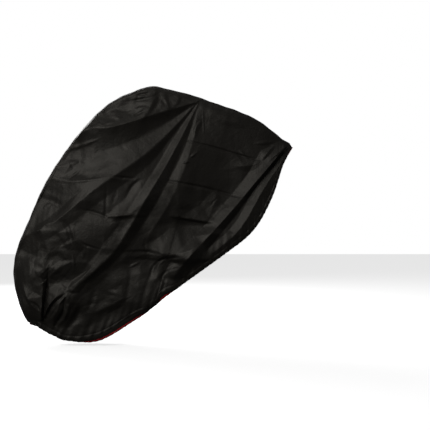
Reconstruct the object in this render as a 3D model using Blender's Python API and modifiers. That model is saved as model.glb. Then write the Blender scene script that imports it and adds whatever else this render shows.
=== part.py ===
"""Fitted bicycle cover: two side panels of thin nylon, sewn together along the ridge,
with a red binding tape round the elastic hem of the open bottom.

The cover hangs as pulled on in use: high in the middle, long behind and drawn out to a tip in
front. Metres, +Z up, +X towards the front. The origin is on the underside of the ridge, near the
highest point, where the cover is carried.
Run with: blender --background --python part.py
"""

import bmesh
import bpy
import numpy as np
from collections import namedtuple

# ---- driving dimensions, metres -------------------------------------------------------------
MM = 0.001
CLOTH_THICKNESS = 0.002
SEAM_HALF_GAP = 0.0003        # each panel stops this far from the centre plane
HEM_LENGTH = 0.019            # cloth that rolls under at the rim
HEM_ROLL = np.radians(135)    # how far it rolls where it is fully turned under
HEM_FULL_HALF_WIDTH = 0.034   # the hem is full size where the rim is at least this far out
HEM_LEAST_SCALE = 0.2         # and shrinks to this at the two ends of the ridge
HEM_ROWS = 3
HEM_LEAST_TURN = 0.01         # a hem that goes straight on still needs a small roll to divide by
TAPE_WIDTH = 0.009
TAPE_THICKNESS = 0.0016
TAPE_GAP = 0.0014             # between the cloth's cut edge and the tape
RIDGE_ROUND = 0.026           # folds die out this close to the ridge seam
FIRST_ROW = 0.002             # first row of faces, as a part of the panel's depth
ROW_CROWDING = 1.18           # above 1, rows crowd towards the ridge

WELD_DISTANCE = 0.00001
OUTWARDS, CENTRED = 1, 0      # where a sheet's thickness lies from its grid

# Faces along the ridge and from ridge to rim.
RIGHT_MESH = (84, 28)
LEFT_MESH = (52, 19)

# ---- cross sections, millimetres ------------------------------------------------------------
# One row for each section of a side, from the front tip over the top to the bottom of the tail.
# A section runs straight, seen from the side, from a point of the ridge to a point of the rim.
# shoulder: drop over which the cloth turns over the ridge, and half width reached there.
# belly and rim: half width in the middle and at the rim. turned: how far the hem rolls under.
Section = namedtuple("Section", "ridge_x ridge_z rim_x rim_z drop shoulder belly rim turned")
SECTIONS = (
    Section(544, -244, 558, -263, 8, 0, 0, 0, 0.0),
    Section(507, -222, 515, -339, 20, 14, 26, 36, 0.9),
    Section(457, -181, 459, -499, 30, 26, 36, 56, 1.0),
    Section(391, -134, 373, -644, 50, 34, 42, 70, 1.0),
    Section(300, -94, 234, -756, 70, 38, 44, 78, 1.0),
    Section(214, -65, 46, -891, 80, 40, 52, 76, 0.8),
    Section(196, -58, -20, -940, 73, 39, 60, 75, 0.2),
    Section(178, -52, -75, -985, 66, 37, 68, 75, 0.9),
    Section(159, -45, -151, -1041, 60, 36, 76, 74, 0.2),
    Section(127, -34, -317, -1136, 40, 30, 94, 66, 0.2),
    Section(86, -21, -466, -1135, 30, 30, 104, 58, 1.0),
    Section(0, 0, -512, -1118, 30, 34, 110, 54, 1.0),
    Section(-82, 15, -534, -1109, 30, 38, 112, 52, 1.0),
    Section(-164, -8, -550, -1101, 30, 36, 110, 50, 1.0),
    Section(-273, -61, -562, -1095, 28, 30, 106, 46, 1.0),
    Section(-382, -162, -572, -1089, 26, 26, 98, 44, 1.0),
    Section(-491, -304, -582, -1083, 24, 24, 90, 42, 1.0),
    Section(-573, -438, -590, -1078, 24, 22, 82, 40, 1.0),
    Section(-641, -593, -598, -1073, 24, 20, 74, 38, 1.0),
    Section(-693, -720, -605, -1070, 24, 20, 64, 36, 1.0),
    Section(-711, -829, -612, -1068, 24, 18, 52, 34, 1.0),
    Section(-697, -929, -619, -1067, 22, 18, 40, 30, 0.8),
    Section(-670, -1011, -628, -1066, 14, 14, 26, 20, 0.4),
    Section(-648, -1054, -638, -1065, 6, 0, 0, 0, 0.0),
)
BELLY_PLACE = 0.55            # the belly's place along a section
MOST_DROP = 0.45              # a short section turns over within this part of its length

# ---- main folds, millimetres ----------------------------------------------------------------
# One row for each fold. path: its crest seen from the side, from the right or top end to the
# left or bottom end. height, upper and lower: crest height and the widths of its two flanks,
# each spread evenly along the path. sharp: 0 for a soft swell, 1 for straight flanks, and above 1
# for flanks that are steepest at the crest.
# fade: parts of the path over which it rises at its start and dies at its end.
Fold = namedtuple("Fold", "name path height upper lower sharp fade")
RIGHT_FOLDS = (
    Fold("top edge", ((122, -59), (-65, -117), (-253, -174), (-352, -178), (-440, -215)),
         (6, 22, 38, 37, 20), (24, 90, 80, 50, 30), (8, 60, 92, 124, 108), 1.25, (0, 0.1)),
    Fold("long fold", ((122, -63), (-25, -222), (-137, -322), (-330, -456), (-509, -599), (-620, -660)),
         (2, 13, 19, 14, 13, 12), (6, 44, 84, 80, 44, 30), (6, 26, 50, 58, 50, 50), 1.1, (0, 0.08)),
    Fold("main fold", ((127, -68), (24, -278), (-119, -514), (-257, -733), (-418, -889)),
         (2, 18, 25, 17, 7), (6, 34, 42, 32, 22), (6, 38, 50, 46, 28), 1.1, (0, 0.12)),
    Fold("main swell", ((11, -322), (-155, -501), (-311, -671)),
         (6, 12, 8), (70, 120, 90), (40, 60, 50), 0, (0.3, 0.3)),
    Fold("third fold", ((127, -81), (98, -269), (12, -494), (-114, -698)),
         (0.5, 10, 17, 11), (5, 40, 58, 50), (5, 110, 180, 220, 230, 60, 20), 1, (0, 0.12)),
    Fold("front fold", ((533, -251), (412, -394), (261, -572), (73, -778), (8, -868)),
         (12, 24, 23, 24, 26, 22, 18, 12), (36, 76, 52, 46, 46, 50, 50, 30), (5, 9, 14, 24, 32, 42, 46, 30),
         1, (0, 0.1)),
    Fold("rim fold", ((546, -269), (421, -456), (314, -635), (158, -769)),
         (6, 18, 12, 5), (14, 36, 34, 30), (8, 36, 46, 50), 1, (0, 0.1)),
    Fold("front swell", ((190, -680), (60, -738), (-90, -752)),
         (12, 34, 22), (80, 145, 130), (80, 115, 100), 1, (0.3, 0.2)),
    Fold("low swell", ((80, -850), (-90, -925), (-300, -970)),
         (12, 23, 14), (150, 170, 150), (100, 120, 100), 0, (0.2, 0.2)),
    Fold("rear swell", ((-333, -890), (-490, -975), (-630, -1000)),
         (8, 24, 18), (90, 130, 130), (90, 110, 80), 0, (0.3, 0)),
    Fold("low crest", ((-449, -907), (-499, -947), (-570, -1028)),
         (6, 14, 10), (70, 60, 30), (20, 26, 24), 1, (0.1, 0.1)),
    Fold("tail valley", ((-539, -805), (-552, -912), (-566, -1028)),
         (-2, -6, -6), (12, 10, 10), (14, 14, 12), 1, (0.2, 0.1)),
    Fold("hem valley", ((-195, -974), (-284, -1023), (-382, -1090)),
         (-1, -2, -1), (50, 50, 40), (36, 40, 30), 0, (0.15, 0.15)),
    Fold("low ridge", ((-275, -733), (-329, -822), (-427, -903), (-507, -1046)),
         (4, 9, 11, 8), (24, 26, 30, 26), (40, 50, 46, 30), 1, (0.2, 0.1)),
)
LEFT_FOLDS = (
    Fold("top edge", ((122, -59), (-90, -135), (-300, -215)),
         (2, 20, 22), (8, 70, 80), (8, 50, 70), 1, (0, 0.2)),
    Fold("long fold", ((122, -63), (-160, -330), (-430, -560), (-620, -700)),
         (2, 28, 26, 14), (6, 90, 70, 50), (6, 70, 90, 70), 1, (0, 0.1)),
    Fold("main fold", ((127, -68), (40, -330), (-110, -640), (-330, -950)),
         (2, 22, 26, 14), (6, 44, 60, 50), (6, 50, 70, 50), 1, (0, 0.12)),
    Fold("front fold", ((533, -251), (380, -420), (230, -600), (20, -820)),
         (3, 20, 26, 16), (8, 50, 80, 80), (6, 30, 60, 60), 1, (0, 0.1)),
    Fold("side swell", ((150, -560), (-20, -640), (-260, -760)),
         (10, 22, 14), (70, 90, 80), (80, 110, 90), 0, (0.3, 0.3)),
    Fold("rear swell", ((-333, -805), (-525, -849), (-695, -836)),
         (6, 20, 16), (70, 100, 100), (80, 100, 90), 0, (0.3, 0)),
    Fold("tail valley", ((-500, -790), (-540, -900), (-575, -1020)),
         (-2, -12, -9), (30, 26, 20), (30, 30, 22), 1, (0.2, 0.1)),
)
CREST_STEPS = 24              # straight steps in which a fold's path is measured


def spline(rows, places):
    """Catmull-Rom curve through the rows, read at places counted in rows from 0."""
    rows = np.asarray(rows, float)
    last = len(rows) - 1
    first = np.clip(np.floor(places).astype(int), 0, last - 1)
    u = (places - first)[..., None]
    p1 = rows[first]
    p2 = rows[first + 1]
    p0 = np.where((first == 0)[..., None], 2 * p1 - p2, rows[np.maximum(first - 1, 0)])
    p3 = np.where((first == last - 1)[..., None], 2 * p2 - p1, rows[np.minimum(first + 2, last)])
    return 0.5 * (2 * p1 + (p2 - p0) * u + (2 * p0 - 5 * p1 + 4 * p2 - p3) * u ** 2
                  + (3 * p1 - p0 - 3 * p2 + p3) * u ** 3)


def ease(value):
    """0 below 0, 1 above 1, and a smooth step between."""
    value = np.clip(value, 0, 1)
    return value * value * (3 - 2 * value)


def spread(values, part):
    """Values spread evenly along a path, read at a part of it from 0 to 1."""
    return np.interp(part, np.linspace(0, 1, len(values)), values)


def fold_height(fold, x, z):
    """How far a fold lifts the cloth at points seen from the side."""
    steps = np.linspace(0, 1, CREST_STEPS + 1)
    crest = spline(np.array(fold.path) * MM, steps * (len(fold.path) - 1))
    nearest = np.full(x.shape, np.inf)
    along = np.zeros(x.shape)
    below = np.zeros(x.shape, bool)
    for step in range(CREST_STEPS):
        start = crest[step]
        run = crest[step + 1] - start
        part = np.clip(((x - start[0]) * run[0] + (z - start[1]) * run[1]) / (run @ run), 0, 1)
        off_x = x - start[0] - part * run[0]
        off_z = z - start[1] - part * run[1]
        distance = np.hypot(off_x, off_z)
        closer = distance < nearest
        nearest = np.where(closer, distance, nearest)
        along = np.where(closer, (step + part) / CREST_STEPS, along)
        below = np.where(closer, run[0] * off_z > run[1] * off_x, below)
    flank = np.where(below, spread(fold.lower, along), spread(fold.upper, along)) * MM
    out = np.clip(nearest / flank, 0, 1)
    profile = (1 - out) ** fold.sharp if fold.sharp else (1 - out * out) ** 2
    rise, fall = fold.fade
    if rise:
        profile = profile * ease(along / rise)
    if fall:
        profile = profile * ease((1 - along) / fall)
    return spread(fold.height, along) * MM * profile


def side_surface(folds, columns, rows):
    """Points (x, half width, z) of one side: a grid from the front tip to the tail, and from the
    ridge down to the rolled hem. Also gives the tape's two edges, beyond the hem."""
    table = np.array(SECTIONS)
    table[:, :-1] *= MM
    ridge_step = np.hypot(*np.diff(table[:, 0:2], axis=0).T)
    rim_step = np.hypot(*np.diff(table[:, 2:4], axis=0).T)
    reach = np.concatenate(([0], np.cumsum(ridge_step + rim_step)))
    places = np.interp(np.linspace(0, reach[-1], columns + 1), reach, np.arange(len(table)))
    section = spline(table, places)
    ridge = section[:, 0:2]
    rim = section[:, 2:4]
    drop, shoulder, belly, rim_half, turned = np.maximum(section[:, 4:].T, 0)
    away = np.gradient(rim, axis=0)[:, ::-1] * (1, -1)      # square to the rim, out of the cloth
    away *= (np.sign(np.sum(away * (rim - ridge), axis=1)) / np.hypot(*away.T))[:, None]

    # The hem: a strip of cloth that goes straight on or rolls under, by the section's turned.
    scale = np.clip(rim_half / HEM_FULL_HALF_WIDTH, HEM_LEAST_SCALE, 1)
    roll = HEM_ROLL * np.clip(turned, HEM_LEAST_TURN, 1)
    hem = np.arange(1, HEM_ROWS + 1) / HEM_ROWS
    angle = hem[None, :] * roll[:, None]
    bend = (HEM_LENGTH * scale / roll)[:, None]
    hem_down = bend * np.sin(angle)
    hem_in = bend * (1 - np.cos(angle))
    end = roll * (1 - 0.5 / HEM_ROWS)      # the way the last row of the hem faces
    tape_down = TAPE_WIDTH * scale * np.cos(end)
    tape_in = TAPE_WIDTH * scale * np.sin(end)
    furthest = np.maximum(hem_down.max(axis=1), hem_down[:, -1] + np.maximum(tape_down, 0))
    foot = rim - away * furthest[:, None]
    depth = np.hypot(*(foot - ridge).T)
    down = (foot - ridge) / depth[:, None]

    share = np.concatenate(([0, FIRST_ROW], (np.arange(1, rows) / (rows - 1)) ** ROW_CROWDING))
    along = depth[:, None] * share[None, :]
    x = ridge[:, 0:1] + down[:, 0:1] * along
    z = ridge[:, 1:2] + down[:, 1:2] * along
    top = np.minimum(drop, MOST_DROP * depth)[:, None]
    middle = BELLY_PLACE * depth[:, None]
    turn_over = np.clip(along / np.maximum(top, MM), 0, 1)
    half = SEAM_HALF_GAP + shoulder[:, None] * np.sqrt(1 - (1 - turn_over) ** 2)
    half += (belly - shoulder)[:, None] * ease((along - top) / (middle - top))
    half += (rim_half - belly)[:, None] * ease((along - middle) / (depth[:, None] - middle))
    lift = sum(fold_height(fold, x, z) for fold in folds)
    tip_fade = ease(rim_half / HEM_FULL_HALF_WIDTH)[:, None]
    half += lift * ease(along / RIDGE_ROUND) * tip_fade
    half = np.maximum(half, SEAM_HALF_GAP)

    def beyond(go_down, go_in):
        """Points past the wall's foot, by steps away from the rim and steps inwards."""
        return (x[:, -1:] + away[:, 0:1] * go_down, half[:, -1:] - go_in,
                z[:, -1:] + away[:, 1:2] * go_down)

    hem_x, hem_half, hem_z = beyond(hem_down, hem_in)
    wall_and_hem = ((x, hem_x), (half, hem_half), (z, hem_z))
    points = np.stack([np.hstack(pair) for pair in wall_and_hem], axis=-1)

    # The tape goes on from the cut edge, along the middle of the cloth's thickness.
    middle_down = hem_down[:, -1] + CLOTH_THICKNESS / 2 * np.sin(end)
    middle_in = hem_in[:, -1] - CLOTH_THICKNESS / 2 * np.cos(end)
    gap = TAPE_GAP / (TAPE_WIDTH * scale)
    edges = []
    for way in (gap, np.ones_like(gap)):
        edge = beyond((middle_down + tape_down * way)[:, None], (middle_in + tape_in * way)[:, None])
        edges.append(np.hstack(edge))
    return points, np.stack(edges, axis=1)


def to_side(points, side):
    """World points from (x, half width, z); side is -1 for the right side and 1 for the left."""
    return points * (1, side, 1)


def sheet(name, points, thickness, offset, material, collection, outward):
    """A thin sheet on a grid of points, made solid by Solidify."""
    columns, rows = points.shape[0] - 1, points.shape[1] - 1
    mesh = bpy.data.meshes.new(name)
    shape = bmesh.new()
    bmesh.ops.create_grid(shape, x_segments=columns, y_segments=rows, size=0.5)
    for vert in shape.verts:
        column = round((vert.co.x + 0.5) * columns)
        row = round((vert.co.y + 0.5) * rows)
        vert.co = points[column, row]
    if not outward:
        bmesh.ops.reverse_faces(shape, faces=shape.faces)
    bmesh.ops.remove_doubles(shape, verts=shape.verts, dist=WELD_DISTANCE)
    shape.to_mesh(mesh)
    shape.free()
    mesh.materials.append(material)
    mesh.shade_smooth()
    body = bpy.data.objects.new(name, mesh)
    collection.objects.link(body)
    solid = body.modifiers.new("thickness", "SOLIDIFY")
    solid.thickness = thickness
    solid.offset = offset
    return body


def cloth_material(name, colour, roughness, sheen):
    """A Principled surface in one colour."""
    material = bpy.data.materials.new(name)
    material.use_nodes = True
    surface = material.node_tree.nodes["Principled BSDF"]
    surface.inputs["Base Color"].default_value = (*colour, 1)
    surface.inputs["Roughness"].default_value = roughness
    surface.inputs["Metallic"].default_value = 0
    surface.inputs["Sheen Weight"].default_value = sheen
    return material


def clear_scene():
    for item in list(bpy.data.objects):
        bpy.data.objects.remove(item, do_unlink=True)


def build():
    clear_scene()
    cover = bpy.data.collections.new("bicycle_cover")
    bpy.context.scene.collection.children.link(cover)
    hanger = bpy.data.objects.new("under_top", None)
    cover.objects.link(hanger)

    nylon = cloth_material("black nylon", (0.016, 0.015, 0.014), 0.48, 0.1)
    tape_red = cloth_material("red tape", (0.42, 0.006, 0.012), 0.6, 0.1)

    right, right_tape = side_surface(RIGHT_FOLDS, *RIGHT_MESH)
    left, left_tape = side_surface(LEFT_FOLDS, *LEFT_MESH)
    right_edge = to_side(right_tape, -1)
    left_edge = to_side(left_tape, 1)
    loop = np.concatenate((right_edge, left_edge[::-1], right_edge[:1]))

    pieces = (
        sheet("right_panel", to_side(right, -1), CLOTH_THICKNESS, OUTWARDS, nylon, cover, True),
        sheet("left_panel", to_side(left, 1), CLOTH_THICKNESS, OUTWARDS, nylon, cover, False),
        sheet("hem_binding", loop, TAPE_THICKNESS, CENTRED, tape_red, cover, True),
    )
    for piece in pieces:
        piece.parent = hanger


build()
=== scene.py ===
# %% [markdown]
# # A fitted bicycle cover
# The real thing is a bag of thin black nylon, drawn in at the bottom by elastic. Its solids
# already hang in the right shape. This lesson gives them their fine folds, creases and cloth.
# First the solids are loaded as a frame that nothing moves.

# %% Load the frame
import bmesh
import bpy
import numpy as np
from collections import namedtuple
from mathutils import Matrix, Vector, geometry
from mathutils.bvhtree import BVHTree


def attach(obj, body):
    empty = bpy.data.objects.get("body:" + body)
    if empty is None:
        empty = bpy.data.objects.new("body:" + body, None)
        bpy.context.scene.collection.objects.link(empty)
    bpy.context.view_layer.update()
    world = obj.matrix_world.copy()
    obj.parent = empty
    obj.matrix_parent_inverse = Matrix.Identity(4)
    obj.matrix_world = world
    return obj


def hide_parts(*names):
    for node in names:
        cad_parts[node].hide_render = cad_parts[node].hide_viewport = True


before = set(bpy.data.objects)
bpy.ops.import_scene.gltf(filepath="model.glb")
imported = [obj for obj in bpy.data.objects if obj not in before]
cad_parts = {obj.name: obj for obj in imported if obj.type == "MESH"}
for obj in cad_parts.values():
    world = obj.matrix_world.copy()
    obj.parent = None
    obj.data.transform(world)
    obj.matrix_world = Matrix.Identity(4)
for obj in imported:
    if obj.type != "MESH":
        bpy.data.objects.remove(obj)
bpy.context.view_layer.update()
MM = 0.001

# %% [markdown]
# The picture is taken from the side, square to the cover, at the height of its middle. One unit
# of the picture's width is known at the cover's middle plane, so the lens follows from the
# distance by similar triangles.

# %% Camera
VIEW_WIDTH = 1.954            # metres across the picture at the middle plane
VIEW_CENTRE = (0.2045, -0.5698)
VIEW_DISTANCE = 5.2
SENSOR = 36.0                 # millimetres


def add_camera():
    lens = bpy.data.cameras.new("side_view")
    lens.sensor_width = SENSOR
    lens.lens = SENSOR * VIEW_DISTANCE / VIEW_WIDTH
    camera = bpy.data.objects.new("side_view", lens)
    camera.location = (VIEW_CENTRE[0], -VIEW_DISTANCE, VIEW_CENTRE[1])
    camera.rotation_euler = (np.radians(90), 0, 0)
    bpy.context.scene.collection.objects.link(camera)
    bpy.context.scene.camera = camera
    return camera


print("lens of", round(add_camera().data.lens, 1), "mm")

# %% [markdown]
# Black cloth shows its folds by its sheen alone, so the light is what draws them. The sheen is
# brightest on a slope that faces half way between the light and the camera. So the key light is
# placed by naming that slope: it faces up and towards the rear. Other slopes fall off from it.
# The floor and the surroundings are pale.

# %% Floor, light and surroundings
FLOOR_Z = -1.158
FLOOR_GLOW = 0.72             # lifts the floor to white in the picture
scene = bpy.context.scene
scene.view_settings.view_transform = "Standard"


def aim(item, target):
    """Turns a light to face a point."""
    item.rotation_euler = (Vector(target) - item.location).to_track_quat("-Z", "Y").to_euler()


def add_light(name, place, target, size, power):
    light = bpy.data.lights.new(name, "AREA")
    light.shape = "RECTANGLE"
    light.size, light.size_y = size
    light.energy = power
    item = bpy.data.objects.new(name, light)
    item.location = place
    aim(item, target)
    scene.collection.objects.link(item)
    return item


def seen_and_shed(nodes, links, seen, shed):
    """A value that is one thing to the camera and another to the light that bounces."""
    path = nodes.new("ShaderNodeLightPath")
    mix = nodes.new("ShaderNodeMix")
    mix.data_type = "FLOAT"
    mix.inputs[2].default_value = shed
    mix.inputs[3].default_value = seen
    links.new(path.outputs["Is Camera Ray"], mix.inputs[0])
    return mix.outputs[0]


def add_surroundings(seen, shed):
    """A white backdrop for the camera that sheds less light on the cloth."""
    world = bpy.data.worlds.new("studio")
    scene.world = world
    world.use_nodes = True
    nodes, links = world.node_tree.nodes, world.node_tree.links
    background = nodes["Background"]
    background.inputs["Color"].default_value = (1, 1, 1, 1)
    links.new(seen_and_shed(nodes, links, seen, shed), background.inputs["Strength"])


def add_floor(seen, shed):
    """A pale plane that is white to the camera and throws less light up at the cloth."""
    mesh = bpy.data.meshes.new("floor")
    shape = bmesh.new()
    bmesh.ops.create_grid(shape, x_segments=1, y_segments=1, size=12)
    bmesh.ops.translate(shape, verts=shape.verts, vec=(0, 0, FLOOR_Z))
    shape.to_mesh(mesh)
    shape.free()
    floor = bpy.data.objects.new("floor", mesh)
    scene.collection.objects.link(floor)
    paint = bpy.data.materials.new("pale floor")
    paint.use_nodes = True
    nodes, links = paint.node_tree.nodes, paint.node_tree.links
    surface = nodes["Principled BSDF"]
    surface.inputs["Roughness"].default_value = 0.9
    surface.inputs["Specular IOR Level"].default_value = 0
    surface.inputs["Emission Color"].default_value = (1, 1, 1, 1)
    links.new(seen_and_shed(nodes, links, seen, shed), surface.inputs["Base Color"])
    links.new(seen_and_shed(nodes, links, FLOOR_GLOW, 0), surface.inputs["Emission Strength"])
    mesh.materials.append(paint)


add_floor(seen=0.95, shed=0.08)
add_surroundings(seen=1.0, shed=0.068)
middle = Vector((-0.1, 0, -0.55))
LIGHT_DISTANCE = 4.2


def light_for_slope(name, slope, size, power):
    """A light whose sheen is brightest on cloth that faces the given slope, seen from the side."""
    across, up = slope
    toward_viewer = Vector((0, -1, 0))
    facing = Vector((across, -np.sqrt(1 - across ** 2 - up ** 2), up))
    way = 2 * facing.dot(toward_viewer) * facing - toward_viewer
    return add_light(name, middle + LIGHT_DISTANCE * way, middle, size, power)


light_for_slope("key", (-0.29, 0.26), (2.6, 2.6), 57)
add_light("overhead", (-0.1, 0.4, 3.6), middle, (1.8, 1.8), 8)
add_light("front_edge", (4.0, -0.8, -0.1), middle, (1.8, 1.8), 5)
add_light("far_side", (-1.9, 3.0, 1.3), middle, (2.6, 2.6), 90)

# %% [markdown]
# ## The shape of a side
# Each side panel is a sheet between two curves: the ridge, where the panels are sewn together,
# and the rim, where the hem runs. A table has one row for each cross section, from the front tip
# over the top to the tail. A smooth curve through the rows gives every section in between.

# %% Sections
# Lengths in millimetres. The last number is how far the hem is rolled under, from 0 to 1.
Section = namedtuple("Section", "ridge_x ridge_z rim_x rim_z drop shoulder belly rim turned")
SECTIONS = (
    Section(544, -244, 558, -263, 8, 0, 0, 0, 0.0),
    Section(507, -222, 515, -339, 20, 14, 26, 36, 0.9),
    Section(457, -181, 459, -499, 30, 26, 36, 56, 1.0),
    Section(391, -134, 373, -644, 50, 34, 42, 70, 1.0),
    Section(300, -94, 234, -756, 70, 38, 44, 78, 1.0),
    Section(214, -65, 46, -891, 80, 40, 52, 76, 0.8),
    Section(196, -58, -20, -940, 73, 39, 60, 75, 0.2),
    Section(178, -52, -75, -985, 66, 37, 68, 75, 0.9),
    Section(159, -45, -151, -1041, 60, 36, 76, 74, 0.2),
    Section(127, -34, -317, -1136, 40, 30, 94, 66, 0.2),
    Section(86, -21, -466, -1135, 30, 30, 104, 58, 1.0),
    Section(0, 0, -512, -1118, 30, 34, 110, 54, 1.0),
    Section(-82, 15, -534, -1109, 30, 38, 112, 52, 1.0),
    Section(-164, -8, -550, -1101, 30, 36, 110, 50, 1.0),
    Section(-273, -61, -562, -1095, 28, 30, 106, 46, 1.0),
    Section(-382, -162, -572, -1089, 26, 26, 98, 44, 1.0),
    Section(-491, -304, -582, -1083, 24, 24, 90, 42, 1.0),
    Section(-573, -438, -590, -1078, 24, 22, 82, 40, 1.0),
    Section(-641, -593, -598, -1073, 24, 20, 74, 38, 1.0),
    Section(-693, -720, -605, -1070, 24, 20, 64, 36, 1.0),
    Section(-711, -829, -612, -1068, 24, 18, 52, 34, 1.0),
    Section(-697, -929, -619, -1067, 22, 18, 40, 30, 0.8),
    Section(-670, -1011, -628, -1066, 14, 14, 26, 20, 0.4),
    Section(-648, -1054, -638, -1065, 6, 0, 0, 0, 0.0),
)
CLOTH_THICKNESS = 0.002
SEAM_HALF_GAP = 0.0003
HEM_LENGTH = 0.019
HEM_ROLL = np.radians(135)
HEM_FULL_HALF_WIDTH = 0.034
HEM_LEAST_SCALE = 0.2
TAPE_WIDTH = 0.009
TAPE_GRIP = 0.12              # the share of the tape's width that laps over the cut edge
BELLY_PLACE = 0.55
MOST_DROP = 0.45
RIDGE_ROUND = 0.026


def spline(rows, places):
    """Catmull-Rom curve through the rows, read at places counted in rows from 0."""
    rows = np.asarray(rows, float)
    last = len(rows) - 1
    first = np.clip(np.floor(places).astype(int), 0, last - 1)
    u = (places - first)[..., None]
    p1 = rows[first]
    p2 = rows[first + 1]
    p0 = np.where((first == 0)[..., None], 2 * p1 - p2, rows[np.maximum(first - 1, 0)])
    p3 = np.where((first == last - 1)[..., None], 2 * p2 - p1, rows[np.minimum(first + 2, last)])
    return 0.5 * (2 * p1 + (p2 - p0) * u + (2 * p0 - 5 * p1 + 4 * p2 - p3) * u ** 2
                  + (3 * p1 - p0 - 3 * p2 + p3) * u ** 3)


def ease(value):
    """0 below 0, 1 above 1, and a smooth step between."""
    value = np.clip(value, 0, 1)
    return value * value * (3 - 2 * value)


print(len(SECTIONS), "sections")

# %% [markdown]
# ## Folds
# A fold is a crest with two flanks. Its row gives the crest's path seen from the side, and how
# its height and the widths of its flanks change along it. Folds that spring from one point start
# narrow and low, and widen as they run, as cloth does when it hangs from a point.

# %% Fold rows
Fold = namedtuple("Fold", "name path height upper lower sharp fade")
RIGHT_FOLDS = (
    Fold("top edge", ((122, -59), (-65, -117), (-253, -174), (-352, -178), (-440, -215)),
         (6, 22, 38, 37, 20), (24, 90, 80, 50, 30), (8, 60, 92, 124, 108), 1.25, (0, 0.1)),
    Fold("long fold",
         ((122, -63), (-25, -222), (-137, -322), (-330, -456), (-509, -599), (-620, -660)),
         (2, 13, 19, 14, 13, 12), (6, 32, 56, 84, 84, 42, 36, 32, 28), (6, 26, 50, 58, 50, 50), 1.1,
         (0, 0.08)),
    Fold("main fold", ((127, -68), (24, -278), (-111, -518), (-248, -738), (-418, -889)),
         (2, 18, 25, 17, 7), (6, 34, 42, 60, 22), (6, 38, 46, 32, 22), 1.1, (0, 0.12)),
    Fold("main swell", ((11, -322), (-155, -501), (-311, -671)),
         (6, 12, 8), (70, 120, 90), (40, 60, 50), 0, (0.3, 0.3)),
    Fold("third fold", ((127, -81), (98, -269), (12, -494), (-114, -698)),
         (0.5, 10, 17, 11), (5, 40, 58, 50), (5, 110, 180, 220, 230, 60, 20), 1, (0, 0.12)),
    Fold("front fold", ((533, -251), (412, -394), (261, -572), (73, -778), (8, -868)),
         (12, 24, 23, 24, 26, 22, 18, 12), (36, 76, 52, 46, 46, 50, 50, 30),
         (5, 9, 14, 24, 32, 42, 46, 30), 1, (0, 0.1)),
    Fold("rim fold", ((546, -269), (421, -456), (314, -635), (158, -769)),
         (6, 18, 12, 5), (14, 36, 34, 30), (8, 36, 46, 50), 1, (0, 0.1)),
    Fold("front swell", ((190, -680), (60, -738), (-90, -752)),
         (12, 34, 22), (80, 145, 130), (80, 115, 100), 1, (0.3, 0.2)),
    Fold("low swell", ((80, -850), (-90, -925), (-300, -970)),
         (12, 23, 14), (150, 170, 150), (100, 120, 100), 0, (0.2, 0.2)),
    Fold("rear swell", ((-333, -890), (-490, -975), (-630, -1000)),
         (8, 24, 18), (90, 130, 130), (90, 110, 80), 0, (0.3, 0)),
    Fold("low crest", ((-449, -907), (-499, -947), (-570, -1028)),
         (6, 14, 10), (70, 60, 30), (20, 26, 24), 1, (0.1, 0.1)),
    Fold("tail valley", ((-539, -805), (-552, -912), (-566, -1028)),
         (-2, -6, -6), (12, 10, 10), (14, 14, 12), 1, (0.2, 0.1)),
    Fold("hem valley", ((-195, -974), (-284, -1023), (-382, -1090)),
         (-1, -2, -1), (50, 50, 40), (36, 40, 30), 0, (0.15, 0.15)),
    Fold("low ridge", ((-275, -733), (-329, -822), (-427, -903), (-507, -1046)),
         (4, 9, 11, 8), (24, 26, 30, 26), (40, 50, 46, 30), 1, (0.2, 0.1)),
)
LEFT_FOLDS = (
    Fold("top edge", ((122, -59), (-90, -135), (-300, -215)),
         (2, 20, 22), (8, 70, 80), (8, 50, 70), 1, (0, 0.2)),
    Fold("long fold", ((122, -63), (-160, -330), (-430, -560), (-620, -700)),
         (2, 28, 26, 14), (6, 90, 70, 50), (6, 70, 90, 70), 1, (0, 0.1)),
    Fold("main fold", ((127, -68), (40, -330), (-110, -640), (-330, -950)),
         (2, 22, 26, 14), (6, 44, 60, 50), (6, 50, 70, 50), 1, (0, 0.12)),
    Fold("front fold", ((533, -251), (380, -420), (230, -600), (20, -820)),
         (3, 20, 26, 16), (8, 50, 80, 80), (6, 30, 60, 60), 1, (0, 0.1)),
    Fold("side swell", ((150, -560), (-20, -640), (-260, -760)),
         (10, 22, 14), (70, 90, 80), (80, 110, 90), 0, (0.3, 0.3)),
    Fold("rear swell", ((-333, -805), (-525, -849), (-695, -836)),
         (6, 20, 16), (70, 100, 100), (80, 100, 90), 0, (0.3, 0)),
    Fold("tail valley", ((-500, -790), (-540, -900), (-575, -1020)),
         (-2, -12, -9), (30, 26, 20), (30, 30, 22), 1, (0.2, 0.1)),
)
CREST_STEPS = 24


def spread(values, part):
    """Values spread evenly along a path, read at a part of it from 0 to 1."""
    return np.interp(part, np.linspace(0, 1, len(values)), values)


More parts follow.
